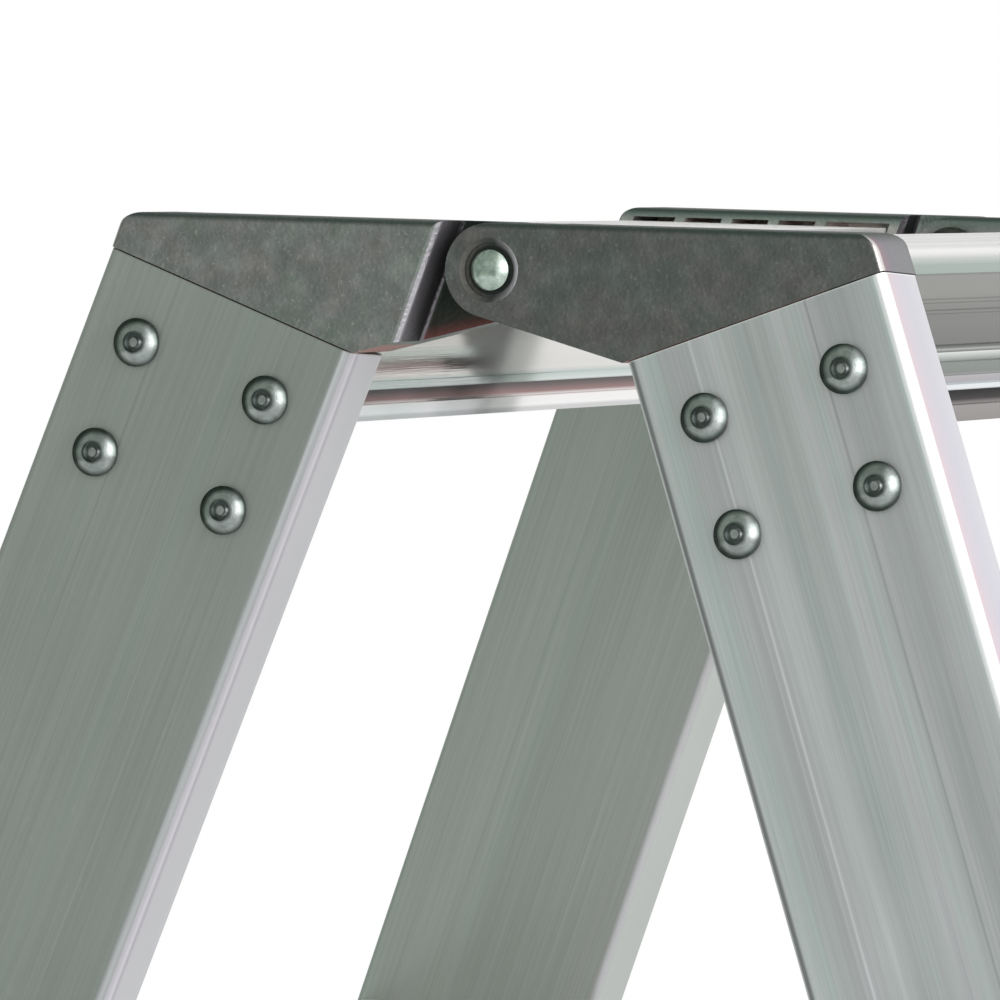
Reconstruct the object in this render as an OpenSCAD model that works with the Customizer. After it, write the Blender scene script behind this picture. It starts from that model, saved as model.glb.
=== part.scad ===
// Trestle ladder: two identical flights of deep treads, hinged together at the top.
// Millimetres. +Z is up, +Y runs along the hinge pins, and each flight leans out along X.
// The origin is on the floor, midway between the four feet.
// The right flight is drawn about the hinge axis. The left flight is the same flight turned
// half a turn about Z, so each hinge laps an outer leaf of one flight over an inner leaf of the other.

/* [Flights] */
// Lean of each flight from upright when the ladder stands open
lean = 20; // [14:1:24]
// Splay of each stile from upright, in the plane of its flight
splay = 3.2; // [0:0.2:4]
// Width over the stiles' outer faces at the height of the hinge axis
top_width = 397; // [372:5:522]
// Vertical rise from one tread to the next
rise = 275; // [250:1:290]

/* [Stiles] */
// Stile width, across the flight's plane
stile_w = 85; // [80:1:90]
// Stile thickness
stile_t = 26.5; // [25:0.5:30]
// Wall of the stile's box section
stile_wall = 2.5; // [2:0.1:3]
// Outer corner radius of the stile
stile_r = 2.75; // [1:0.25:3]
// Distance from the hinge axis to a stile's inner narrow face, square to the stile
stile_offset = 33.3; // [32:0.1:38]
// Distance down the stile from the hinge axis to its square top cut
top_cut = 40; // [38:0.5:44]

/* [Hinge castings] */
// Radius of the eye, and height of the casting's top over the hinge axis
eye_r = 14; // [13.5:0.25:15]
// Radius of the hinge pin
pin_r = 6; // [5:0.25:6.5]
// Radial running clearance of every pin
pin_clearance = 0.05; // [0.02:0.01:0.09]
// Radius of the shallow counterbore round the pin's outer end
counterbore_r = 8.2; // [7.5:0.1:9]
// Thickness of the outer leaf
outer_leaf = 16; // [15:0.5:17]
// Gap between the two leaves
leaf_gap = 0.5; // [0.4:0.1:0.8]
// Distance from the hinge axis to the wall that ends the full thickness
leaf_wall = 20; // [19:0.5:22]
// Radius along the casting's top edges
cast_r = 2.5; // [1.5:0.25:3]
// Radius of the casting's upright corners at its outer end
end_r = 1.3; // [0.8:0.1:2.5]
// Radius of the casting's top outer corner
shoulder_r = 8; // [5:0.5:9]
// Radius of the casting's lower corner, at the stile's inner edge
corner_r = 5; // [3:0.5:7]
// Depth of the tongue inside the stile
tongue_l = 84; // [76:1:100]
// Seam between the casting's shoulder and the stile's top cut
seam = 0.4; // [0.2:0.1:0.6]

/* [Rivets] */
// Head radius of the structural rivets that hold each casting
rivet_head_r = 7.3; // [6:0.1:8]
// Shank radius of those rivets
rivet_r = 4; // [3.2:0.1:4.5]
// Spacing of the rivets across the stile
rivet_across = 46; // [40:1:50]
// Spacing of the rivets along the stile
rivet_along = 35.5; // [30:0.5:40]
// Distance from the top cut to the first row of rivets
rivet_first = 23.5; // [18:0.5:28]

/* [Treads] */
// Height of the top tread's walking face over the hinge axis
tread_top = 9.5; // [8:0.5:11]
// Distance from the hinge axis to the top tread's nose
nose_x = 122; // [118:1:124]
// Depth of the tread's walking face, nose to back edge
deck_w = 98; // [92:1:100]
// Width of the tread's box under the deck
box_w = 65; // [60:1:68]
// Height of the tread's front wall, walking face to the bottom of its lip
front_h = 51.4; // [48:0.2:54]
// Height of the tread's back wall, walking face to the bottom of its lip
back_h = 57.2; // [54:0.2:62]

/* [Feet] */
// Wall of the foot's sleeve round the stile
foot_wall = 2.6; // [2:0.2:4]
// Height of the sleeve
foot_sleeve = 38; // [28:1:50]
// Thickness of the sole under the stile's lowest corner
sole_t = 16; // [10:1:24]

/* [Stays] */
// Distance from the hinge axis down the stile to the stay's pivot
stay_down = 640; // [610:5:680]
// Distance from the stile's narrow face to the stay's pivot
stay_reach = 16; // [15:0.5:20]
// Width of a stay bar
bar_w = 20; // [16:1:22]
// Thickness of a stay bar
bar_t = 4; // [3:0.5:5]
// Thickness of the stay bracket
bracket_t = 3; // [2.5:0.5:4]
// Radius of the stay's pins
stay_pin_r = 4; // [3:0.25:4.5]

/* [Hidden] */
$fn = 64;
// Joins and cuts overlap, or run past a face, by this much
over = 1;
// Larger than any casting or foot, for cuts that take everything on one side
far = 200;
// Each flight has five treads, and each is a node of its own
tread_count = 5;
tan_lean = tan(lean);
stile_outer = stile_offset + stile_w;
stile_mid = stile_offset + stile_w / 2;
half_t = stile_t / 2;

// Height of the hinge axis, so that the lowest tread stands one rise over the floor
pivot_h = tread_count * rise - tread_top;
// Y of a stile's centre plane at the height of the hinge axis
stile_y = top_width / 2 - half_t / cos(splay);
// Length of the stile's centre line from the hinge axis to its square bottom cut
stile_end = (pivot_h + stile_offset * sin(lean) - sole_t) / (cos(lean) * cos(splay));

// Y of a stile's inner face at a distance z along the flight, z being negative below the hinge
function inner_y(z) = stile_y - half_t / cos(splay) - z * tan(splay);
head_in = inner_y(-top_cut);
head_out = head_in + stile_t;
inner_leaf = stile_t - outer_leaf - leaf_gap;

// A point of the closed, upright flight, given in the open flight's X and Z
function leaned(x, z) = [x * cos(lean) - z * sin(lean), x * sin(lean) + z * cos(lean)];

stay_pivot = leaned(stile_offset - stay_reach, -stay_down);
stay_y = stile_y + stay_down * tan(splay);
// Half the slip gap between the two bars of a stay, and between a bar and its bracket
slip = 0.1;

// Draws a flight's piece in the ladder: side is 1 for the right flight and -1 for the left
module flight(side) {
    translate([0, 0, pivot_h])
        rotate([0, 0, side > 0 ? 0 : 180])
            children();
}

// Turns the upright, closed flight out to its open lean
module leaning() {
    rotate([0, -lean, 0])
        children();
}

// Stands children on a stile's centre plane: s is 1 at positive Y and -1 at negative Y
module on_stile(s) {
    translate([0, s * stile_y, 0])
        rotate([s * splay, 0, 0])
            children();
}

// Extrudes a plan of X and Z between two values of Y
module along_y(y0, y1) {
    translate([0, y1, 0])
        rotate([90, 0, 0])
            linear_extrude(height = y1 - y0)
                children();
}

// A cylinder that runs along Y between two values of Y
module y_rod(r, x, z, y0, y1) {
    translate([x, y0, z])
        rotate([-90, 0, 0])
            cylinder(r = r, h = y1 - y0);
}

module rounded_rect(w, d, r) {
    square([w - 2 * r, d], center = true);
    square([w, d - 2 * r], center = true);
    for (x = [-1, 1], y = [-1, 1])
        translate([x * (w / 2 - r), y * (d / 2 - r)])
            circle(r = r);
}

// The solid outline of a stile, from one distance below the hinge axis to another
module stile_outline(from, to, grow = 0) {
    translate([stile_mid, 0, -to])
        linear_extrude(height = to - from)
            rounded_rect(stile_w + 2 * grow, stile_t + 2 * grow, stile_r + grow);
}

// Centres of the rivets that hold a casting, as X and Z along the stile
function rivet_places() = [
    for (x = [-1, 1], row = [0, 1])
        [stile_mid + x * rivet_across / 2, -top_cut - rivet_first - row * rivet_along]
];

foot_rivet_r = 2.4;
foot_rivet_across = 40;
function foot_rivet_places() = [
    for (x = [-1, 1])
        [stile_mid + x * foot_rivet_across / 2, -stile_end + foot_sleeve / 2]
];

stay_rivet_r = 2.4;
stay_rivet_pitch = 40;

// STILES: box sections, cut square at both ends
module stile(side, s) {
    color("silver")
        flight(side) leaning() on_stile(s)
            difference() {
                stile_outline(top_cut + seam, stile_end);
                translate([stile_offset + stile_wall, stile_wall - half_t, -stile_end - over])
                    cube([stile_w - 2 * stile_wall, stile_t - 2 * stile_wall, stile_end]);
                for (p = rivet_places())
                    y_rod(rivet_r + pin_clearance, p[0], p[1],
                          s > 0 ? 0 : -stile_t, s > 0 ? stile_t : 0);
                for (p = foot_rivet_places())
                    y_rod(foot_rivet_r + pin_clearance, p[0], p[1],
                          s > 0 ? 0 : -stile_t, s > 0 ? stile_t : 0);
                for (z = [-1, 1])
                    stay_rivet_hole(s, z);
            }
}

// A stay bracket's rivet hole, drawn on the splayed stile although the bracket stands upright
module stay_rivet_hole(s, z) {
    rotate([-s * splay, 0, 0])
        translate([0, -s * stile_y, 0])
            translate([0, s * stay_y, -stay_down + z * stay_rivet_pitch / 2])
                rotate([0, 90, 0])
                    cylinder(r = stay_rivet_r + pin_clearance, h = stile_mid);
}

// HINGE CASTINGS
shoulder_z = eye_r - shoulder_r;
shoulder_x = (stile_outer - shoulder_r - shoulder_z * sin(lean)) / cos(lean);
// The head's outline runs a little below the cut, and the splayed cut plane trims it
trim = 2;
cut_in = leaned(stile_offset, -top_cut);
// Where the lower edge meets the eye, as a tangent from the inner corner of the cut
// It passes a hair inside the eye's round, so that line and round cross cleanly
under_r = eye_r - 0.03;
under_l = norm(cut_in);
under_angle = atan2(-cut_in[1], -cut_in[0]) + asin(under_r / under_l);
under_way = [cos(under_angle), sin(under_angle)];
under = cut_in + sqrt(under_l * under_l - under_r * under_r) * under_way;
// Half the angle inside the lower corner, and how far its round takes up each edge
corner_half = (under_angle - lean) / 2;
corner_run = corner_r / tan(corner_half);
corner_centre = cut_in + corner_r / sin(corner_half)
    * [cos(lean + corner_half), sin(lean + corner_half)];

module head_plan() {
    polygon([
        [0, 0],
        [0, eye_r],
        [shoulder_x, eye_r],
        [shoulder_x, shoulder_z],
        [shoulder_x + shoulder_r * cos(lean), shoulder_z + shoulder_r * sin(lean)],
        leaned(stile_outer, -top_cut - trim),
        leaned(stile_offset + corner_run, -top_cut - trim),
        leaned(stile_offset + corner_run, -top_cut),
        corner_centre,
        cut_in + corner_run * under_way,
        under
    ]);
    circle(r = eye_r);
    translate(corner_centre)
        circle(r = corner_r);
    translate([shoulder_x, shoulder_z])
        circle(r = shoulder_r);
}

// Rims left round the pocket in the casting's inner side
top_rim = 3;
rim = 5;
pocket_floor = 5;
// Ribs across the pocket, placed as shares of the stile's width
rib_t = 3.5;
rib_shares = [0.18, 0.37, 0.56, 0.75];
module pocket_plan() {
    difference() {
        intersection() {
            polygon([
                leaned(leaf_wall + rim, top_cut),
                leaned(leaf_wall + rim, -rim * 4.6),
                leaned(stile_offset + rim, -top_cut + rim),
                leaned(stile_outer - rim, -top_cut + rim),
                leaned(stile_outer - rim, top_cut)
            ]);
            translate([0, eye_r - top_rim - far])
                square([far, far]);
        }
        for (share = rib_shares)
            rotate(lean)
                translate([stile_offset + share * stile_w - rib_t / 2, -far / 2])
                    square([rib_t, far]);
    }
}

// The head between its inner and outer faces, with rounded top edges and a rounded end
module head_solid(s) {
    y0 = s > 0 ? head_in : -head_out;
    intersection() {
        along_y(y0, y0 + stile_t)
            head_plan();
        translate([-far / 2, y0 + half_t, eye_r - far / 2])
            rotate([90, 0, 90])
                linear_extrude(height = 2 * far)
                    rounded_rect(stile_t, far, cast_r);
        leaning()
            translate([stile_outer - far / 2, y0 + half_t, -far / 2])
                linear_extrude(height = far)
                    rounded_rect(far, stile_t, end_r);
    }
}

// The hollow tongue that plugs into the stile, its plate against the stile's outer wall
tongue_gap = 0.3;
tongue_plate = 7;
tongue_flange = 5;
module tongue(s) {
    w = stile_w - 2 * stile_wall - 2 * tongue_gap;
    y_out = half_t - stile_wall;
    d = 2 * y_out - tongue_gap;
    bay = (w - 3 * tongue_flange) / 2;
    mirror([0, s > 0 ? 0 : 1, 0])
        difference() {
            translate([stile_mid - w / 2, y_out - d, -top_cut - tongue_l])
                cube([w, d, tongue_l]);
            for (b = [0, 1])
                translate([stile_mid - w / 2 + tongue_flange + b * (bay + tongue_flange),
                           y_out - tongue_plate - far, -top_cut - tongue_l - over])
                    cube([bay, far, tongue_l - tongue_flange]);
            for (p = rivet_places())
                y_rod(rivet_r + pin_clearance, p[0], p[1], -half_t, half_t);
        }
}

// The casting carries an outer leaf at negative Y and an inner leaf at positive Y
module casting(side, s) {
    color("dimgray")
        flight(side)
            union() {
                difference() {
                    head_solid(s);
                    leaning() on_stile(s)
                        translate([-far / 2, -far / 2, -top_cut - far])
                            cube([2 * far, far, far]);
                    leaning()
                        leaf_cut(s);
                    pin_bore(s);
                    along_y(s > 0 ? head_in - over : -head_out + pocket_floor,
                            s > 0 ? head_out - pocket_floor : -head_in + over)
                        pocket_plan();
                }
                leaning() on_stile(s)
                    tongue(s);
            }
}

// Clears the other casting's leaf: a filleted corner inside and a chamfered edge outside
leaf_fillet = 2;
leaf_chamfer = 2.4;
module leaf_cut(s) {
    y0 = s > 0 ? head_in + inner_leaf : -head_out + outer_leaf;
    translate([0, y0, -far / 2])
        linear_extrude(height = far) {
            translate([leaf_wall - far / 2, far / 2])
                rounded_rect(far, far, leaf_fillet);
            translate([leaf_wall, stile_t - (s > 0 ? inner_leaf : outer_leaf)])
                rotate(45)
                    square(leaf_chamfer, center = true);
        }
}

// Depth of the counterbore, and the chamfer round its mouth
counterbore_d = 2.4;
bore_chamfer = 1.2;
module pin_bore(s) {
    y_rod(pin_r + pin_clearance, 0, 0, s > 0 ? 0 : -far * 2, s > 0 ? far * 2 : 0);
    if (s < 0) {
        y_rod(counterbore_r, 0, 0, -head_out - over, -head_out + counterbore_d);
        translate([0, -head_out - over, 0])
            rotate([-90, 0, 0])
                cylinder(r1 = counterbore_r + bore_chamfer + over, r2 = counterbore_r,
                         h = bore_chamfer + over);
    }
}

// HINGE PINS: a domed end in the counterbore, a washer and a peened head on the inner side
washer_t = 1.5;
washer_r = 10.5;
peen_h = 3.5;
peen_r = 8;
// Height of the domed end, which starts below the casting's face
dome_h = 2;
pin_sink = 1;
module hinge_pin(side) {
    dome_r = (pin_r * pin_r + dome_h * dome_h) / (2 * dome_h);
    color("gainsboro")
        flight(side)
            translate([0, -head_out, 0])
                rotate([-90, 0, 0]) {
                    translate([0, 0, pin_sink])
                        cylinder(r = pin_r, h = stile_t + washer_t - pin_sink);
                    intersection() {
                        translate([0, 0, pin_sink + dome_r - dome_h])
                            sphere(r = dome_r);
                        translate([0, 0, pin_sink - dome_h])
                            cylinder(r = pin_r, h = dome_h + over);
                    }
                    translate([0, 0, stile_t + washer_t])
                        cylinder(r1 = peen_r, r2 = peen_r * 0.7, h = peen_h);
                }
}

module hinge_washer(side) {
    color("lightgray")
        flight(side)
            difference() {
                y_rod(washer_r, 0, 0, -head_in, -head_in + washer_t);
                y_rod(pin_r + pin_clearance, 0, 0, -head_out, 0);
            }
}

// RIVETS
// A blind rivet along +Z: a domed flange at z = 0 with a sunk ring and the stem's broken end
module blind_rivet(head_r, head_h, shank_r, grip, bulb) {
    ring_r = 0.44 * head_r;
    stem_r = 0.2 * head_r;
    edge = 0.4 * head_h;
    rise_h = head_h - edge;
    dome_r = (head_r * head_r + rise_h * rise_h) / (2 * rise_h);
    rotate_extrude()
        difference() {
            union() {
                translate([0, -edge])
                    square([head_r, edge]);
                intersection() {
                    translate([0, dome_r - head_h])
                        circle(r = dome_r, $fn = 128);
                    translate([0, -head_h])
                        square([head_r, head_h]);
                }
                square([shank_r, grip]);
                translate([0, grip])
                    square([1.3 * shank_r, bulb]);
            }
            translate([stem_r, -2 * head_h])
                square([ring_r - stem_r, 1.6 * head_h]);
            translate([0, -2 * head_h])
                square([stem_r, 1.15 * head_h]);
            translate([-2 * dome_r, -dome_r])
                square([2 * dome_r, 3 * dome_r]);
        }
}

rivet_head_h = 4;
module hinge_rivets(side, s) {
    color("darkgray")
        flight(side) leaning() on_stile(s)
            for (p = rivet_places())
                translate([p[0], s * half_t, p[1]])
                    rotate([s * 90, 0, 0])
                        blind_rivet(rivet_head_r, rivet_head_h, rivet_r,
                                    stile_wall + tongue_plate, 7);
}

// TREADS
// A point of the tread's section: u inwards from the nose, v down from the walking face
function section(u, v) = [nose_x - u, -v];
nose_r = 4;
wall_t = 2;
front_t = 4.4;
web_t = 2;
deck_t = 3.2;
back_edge_h = 9;
// Each wall ends in a neck and a lip that turns down
lip_h = 9.4;
neck_h = 4.6;
neck_u = 5.5;
groove_pitch = 6;
groove_w = 2.2;
groove_d = 1;
first_groove = 9;
front_low = front_h - lip_h;
back_low = back_h - lip_h;

// A bar of the section between two depths inwards and two depths down
module section_bar(u0, u1, v0, v1) {
    polygon([section(u0, v0), section(u1, v0), section(u1, v1), section(u0, v1)]);
}

// The front wall: a nose, a ribbed panel, a groove, a ledge and a beaded foot
module front_wall() {
    low = front_low;
    translate(section(nose_r, nose_r))
        circle(r = nose_r);
    polygon([
        for (p = [
            [nose_r, 0], [nose_r, nose_r], [0, nose_r], [0, 7.4], [1, 8],
            [1, 14.8], [0.2, 15.2], [0.2, 15.9], [1, 16.3],
            [1, 18], [0.2, 18.4], [0.2, 19.1], [1, 19.5],
            [1, 28.4], [2.4, 29], [2.4, 30.2], [0, 30.7], [0, 33.3],
            [0.7, 33.8], [0.7, low - 4.6], [0, low - 4.3], [0, low - 2.4],
            [0.8, low - 2], [0, low - 1.6], [0, low], [front_t, low], [front_t, 0]
        ]) section(p[0], p[1])
    ]);
}

// The neck and lip under a wall: in is 1 where the section lies further inwards, or -1
module neck_and_lip(u, low, in) {
    a = u + in * neck_u;
    b = a + in * wall_t;
    lip = u + in * 0.4;
    top = low + neck_h;
    section_bar(a, b, low - wall_t, top + wall_t);
    section_bar(lip, b, top, top + wall_t);
    section_bar(lip, lip + in * wall_t, top, low + lip_h);
}

module tread_section() {
    b = box_w;
    back = deck_w - wall_t;
    difference() {
        union() {
            front_wall();
            section_bar(nose_r, deck_w, 0, deck_t);
            section_bar(back, deck_w, 0, back_edge_h);
            section_bar((b - web_t) / 2, (b + web_t) / 2, deck_t - over, front_low - over);
            section_bar(front_t - over, b - over, front_low - wall_t, front_low);
            section_bar(b - wall_t, b, deck_t - over, back_low);
            section_bar(b - over, b + 1, back_low - 2.4, back_low);
            section_bar(b - neck_u - wall_t, b, back_low - wall_t, back_low);
            neck_and_lip(0, front_low, 1);
            neck_and_lip(b, back_low, -1);
            section_bar(front_t - over, neck_u + wall_t, front_low - wall_t, front_low);
        }
        for (u = [first_groove : groove_pitch : deck_w - groove_pitch])
            translate(section(u + groove_w, groove_d))
                square([groove_w, 2 * groove_d]);
    }
}

// The space between the castings and between the splayed stiles, in the upright flight
module between_stiles() {
    low = -stile_end;
    rotate([90, 0, 90])
        linear_extrude(height = 2 * far, center = true)
            polygon([
                [-head_in, top_cut], [-head_in, -top_cut], [-inner_y(low), low],
                [inner_y(low), low], [head_in, -top_cut], [head_in, top_cut]
            ]);
}

module tread(side, k) {
    color("lightgray")
        flight(side)
            intersection() {
                translate([k * rise * tan_lean, 0, tread_top - k * rise])
                    along_y(-top_width, top_width)
                        tread_section();
                leaning()
                    between_stiles();
            }
}

// FEET: a wedge with a flat ribbed sole, and a sleeve over the stile's end
sole_rib_w = 5;
sole_pitch = 8;
sole_groove_d = 2.5;
module foot(side, s) {
    foot_x = leaned(stile_offset, -stile_end)[0];
    color("#222428")
        flight(side)
            difference() {
                intersection() {
                    leaning() on_stile(s)
                        stile_outline(stile_end - foot_sleeve, stile_end + far / 2, foot_wall);
                    translate([0, -top_width, -pivot_h])
                        cube([3 * stile_end, 2 * top_width, pivot_h]);
                }
                leaning() on_stile(s)
                    stile_outline(stile_end - foot_sleeve - over, stile_end);
                leaning() on_stile(s)
                    for (p = foot_rivet_places())
                        y_rod(foot_rivet_r + pin_clearance, p[0], p[1],
                              s > 0 ? 0 : -stile_t, s > 0 ? stile_t : 0);
                for (x = [foot_x + 2 : sole_pitch : foot_x + stile_w + 3 * sole_pitch])
                    translate([x, -top_width, -pivot_h - over])
                        cube([sole_pitch - sole_rib_w, 2 * top_width, sole_groove_d + over]);
            }
}

foot_rivet_head_r = 5;
foot_rivet_head_h = 2;
module foot_rivets(side) {
    color("darkgray")
        flight(side) leaning()
            for (s = [-1, 1], p = foot_rivet_places())
                on_stile(s)
                    translate([p[0], s * (half_t + foot_wall), p[1]])
                        rotate([s * 90, 0, 0])
                            blind_rivet(foot_rivet_head_r, foot_rivet_head_h, foot_rivet_r,
                                        foot_wall + stile_wall, 4);
}

// STAYS: two flat bars on each side, folding up between the flights
bracket_h = 56;
bracket_w = 20;
ear_r = 11;
module stay_place(s) {
    translate([stile_offset - stay_reach, s * stay_y, -stay_down])
        children();
}

module stay_bracket(side, s) {
    plate_x = stay_reach - bracket_t;
    color("gainsboro")
        flight(side) leaning() stay_place(s)
            difference() {
                union() {
                    translate([plate_x, -bracket_w / 2, -bracket_h / 2])
                        cube([bracket_t, bracket_w, bracket_h]);
                    y_rod(ear_r, 0, 0, slip, slip + bracket_t);
                    translate([0, slip, -ear_r])
                        cube([plate_x + over, bracket_t, 2 * ear_r]);
                }
                y_rod(stay_pin_r + pin_clearance, 0, 0, -far, far);
                for (z = [-1, 1])
                    translate([0, 0, z * stay_rivet_pitch / 2])
                        rotate([0, 90, 0])
                            cylinder(r = stay_rivet_r + pin_clearance, h = far);
            }
}

module stay_rivets(side) {
    color("darkgray")
        flight(side) leaning()
            for (s = [-1, 1], z = [-1, 1])
                stay_place(s)
                    translate([stay_reach - bracket_t, 0, z * stay_rivet_pitch / 2])
                        rotate([0, 90, 0])
                            blind_rivet(foot_rivet_head_r, foot_rivet_head_h, stay_rivet_r,
                                        bracket_t + stile_wall, 4);
}

// The bar runs level from the middle of the ladder out to its bracket
module stay_bar(side, s) {
    color("silver")
        flight(side)
            translate([0, s * stay_y, stay_pivot[1]])
                difference() {
                    along_y(-slip - bar_t, -slip) {
                        translate([0, -bar_w / 2])
                            square([stay_pivot[0], bar_w]);
                        circle(r = bar_w / 2);
                        translate([stay_pivot[0], 0])
                            circle(r = bar_w / 2);
                    }
                    for (x = [0, stay_pivot[0]])
                        y_rod(stay_pin_r + pin_clearance, x, 0, -far, far);
                }
}

stay_head_r = 7.5;
stay_head_t = 2.5;
// The end pin goes through the bar and the bracket's ear, with a flat head on each side
module stay_pin(side, s) {
    y0 = -2 * slip - bar_t;
    y1 = slip + bracket_t;
    color("darkgray")
        flight(side) leaning() stay_place(s) {
            y_rod(stay_pin_r, 0, 0, y0 - over, y1 + over);
            y_rod(stay_head_r, 0, 0, y0 - stay_head_t, y0);
            y_rod(stay_head_r, 0, 0, y1, y1 + stay_head_t);
        }
}

// Each bar holds its own half of the middle rivet, flush with the face where the bars meet
module stay_stud(side, s) {
    color("darkgray")
        flight(side)
            translate([0, s * stay_y, stay_pivot[1]]) {
                y_rod(stay_pin_r, 0, 0, -slip - bar_t - over, -slip);
                y_rod(stay_head_r, 0, 0, -slip - bar_t - stay_head_t, -slip - bar_t);
            }
}

stile(-1, 1);  // near_left_stile
stile(-1, -1);  // far_left_stile
stile(1, -1);  // near_right_stile
stile(1, 1);  // far_right_stile
casting(-1, 1);  // near_left_casting
casting(-1, -1);  // far_left_casting
casting(1, -1);  // near_right_casting
casting(1, 1);  // far_right_casting
hinge_rivets(-1, 1);  // near_left_casting_rivets
hinge_rivets(-1, -1);  // far_left_casting_rivets
hinge_rivets(1, -1);  // near_right_casting_rivets
hinge_rivets(1, 1);  // far_right_casting_rivets
hinge_pin(1);  // near_hinge_pin
hinge_pin(-1);  // far_hinge_pin
hinge_washer(1);  // near_hinge_washer
hinge_washer(-1);  // far_hinge_washer
tread(-1, 0);  // left_top_tread
tread(-1, 1);  // left_tread_2
tread(-1, 2);  // left_tread_3
tread(-1, 3);  // left_tread_4
tread(-1, 4);  // left_bottom_tread
tread(1, 0);  // right_top_tread
tread(1, 1);  // right_tread_2
tread(1, 2);  // right_tread_3
tread(1, 3);  // right_tread_4
tread(1, 4);  // right_bottom_tread
foot(-1, 1);  // near_left_foot
foot(-1, -1);  // far_left_foot
foot(1, -1);  // near_right_foot
foot(1, 1);  // far_right_foot
foot_rivets(-1);  // left_foot_rivets
foot_rivets(1);  // right_foot_rivets
stay_bracket(-1, 1);  // near_left_stay_bracket
stay_bracket(-1, -1);  // far_left_stay_bracket
stay_bracket(1, -1);  // near_right_stay_bracket
stay_bracket(1, 1);  // far_right_stay_bracket
stay_rivets(-1);  // left_stay_rivets
stay_rivets(1);  // right_stay_rivets
stay_bar(-1, 1);  // near_left_stay_bar
stay_bar(-1, -1);  // far_left_stay_bar
stay_bar(1, -1);  // near_right_stay_bar
stay_bar(1, 1);  // far_right_stay_bar
stay_pin(-1, 1);  // near_left_stay_pin
stay_pin(-1, -1);  // far_left_stay_pin
stay_pin(1, -1);  // near_right_stay_pin
stay_pin(1, 1);  // far_right_stay_pin
stay_stud(-1, 1);  // near_left_stay_stud
stay_stud(-1, -1);  // far_left_stay_stud
stay_stud(1, -1);  // near_right_stay_stud
stay_stud(1, 1);  // far_right_stay_stud
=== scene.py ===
# %% [markdown]
# # Dressing a trestle ladder
#
# The ladder arrives as solid parts that already have their true sizes and places. This lesson
# adds what solids don't carry: the sawn and cast surfaces, the weld beads, the light and the
# camera. Nothing that arrives is moved or reshaped. We give each part a surface of its own, and
# build a few extra pieces where the real ladder has something that the solids leave out.

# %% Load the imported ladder
import math

import bpy
from mathutils import Matrix, Vector


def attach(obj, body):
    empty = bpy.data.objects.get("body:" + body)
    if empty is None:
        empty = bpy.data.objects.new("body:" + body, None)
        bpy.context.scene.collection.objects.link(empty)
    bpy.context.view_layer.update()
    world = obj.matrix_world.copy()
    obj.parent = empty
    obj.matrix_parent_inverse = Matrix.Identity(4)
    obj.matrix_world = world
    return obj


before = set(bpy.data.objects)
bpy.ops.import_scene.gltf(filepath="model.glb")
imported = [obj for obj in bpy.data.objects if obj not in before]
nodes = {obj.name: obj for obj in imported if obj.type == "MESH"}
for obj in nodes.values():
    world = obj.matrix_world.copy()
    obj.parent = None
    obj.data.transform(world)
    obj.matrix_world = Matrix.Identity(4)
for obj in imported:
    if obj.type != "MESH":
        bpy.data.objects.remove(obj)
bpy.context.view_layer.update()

# %% [markdown]
# ## Sizes that the extra pieces share with the solids
#
# Both flights lean out by the same angle, and each stile also splays to its own side. The weld
# beads and the lines in the aluminium follow those directions, so we write the angles and places
# down once.

# %% Angles and places of the ladder
LEAN = math.radians(20)
SPLAY = math.radians(3.2)
RISE = 0.275
TREADS = 5
TREAD_TOP = 0.0095
HINGE_Z = TREADS * RISE - TREAD_TOP
STILE_T = 0.0265
STILE_Y = 0.397 / 2 - STILE_T / 2 / math.cos(SPLAY)
NOSE_X = 0.122
BOX_W = 0.065
FLIGHTS = {"right": 1, "left": -1}
SIDES = {"near": -1, "far": 1}


def flight_turn(side):
    """The left flight is the right one turned half round Z."""
    return Matrix.Rotation(0 if side > 0 else math.pi, 4, "Z")


def stile_turn(side, y_sign):
    """Turns upright Z to run along a stile: the splay first, then the lean."""
    s = y_sign * side
    lean = Matrix.Rotation(-LEAN, 4, "Y") @ Matrix.Rotation(s * SPLAY, 4, "X")
    return flight_turn(side) @ lean


print("hinge axis at", round(HINGE_Z, 4), "m")

# %% [markdown]
# ## The camera
#
# The photograph was taken from a little above the hinge, in front and to the right, with a long
# lens. The numbers come from fitting a pinhole camera to the edges of the stiles and castings.
# The picture is square, so a 36 mm sensor and the focal length in pixels give the lens.

# %% Place the camera
CAMERA_AT = Vector((1.007362, -2.413035, HINGE_Z + 0.053427))
AZIMUTH, PITCH, ROLL = (math.radians(a) for a in (24.363, 2.850, 1.312))
FOCAL_PIXELS = 8265.3
PICTURE_PIXELS = 1000
SENSOR = 36

right = Vector((math.cos(AZIMUTH), math.sin(AZIMUTH), 0))
ahead = Vector((
    -math.sin(AZIMUTH) * math.cos(PITCH),
    math.cos(AZIMUTH) * math.cos(PITCH),
    -math.sin(PITCH),
))
up = right.cross(ahead)
rolled_right = right * math.cos(ROLL) + up * math.sin(ROLL)
rolled_up = up * math.cos(ROLL) - right * math.sin(ROLL)

camera_data = bpy.data.cameras.new("camera")
camera_data.sensor_width = SENSOR
camera_data.lens = SENSOR * FOCAL_PIXELS / PICTURE_PIXELS
camera_data.clip_start = 0.05
camera_data.clip_end = 60
camera_data.dof.use_dof = False
camera = bpy.data.objects.new("camera", camera_data)
bpy.context.scene.collection.objects.link(camera)
place = Matrix((rolled_right, rolled_up, -ahead)).transposed().to_4x4()
place.translation = CAMERA_AT
camera.matrix_world = place
bpy.context.scene.camera = camera
print("lens:", round(camera_data.lens, 1), "mm")

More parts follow.
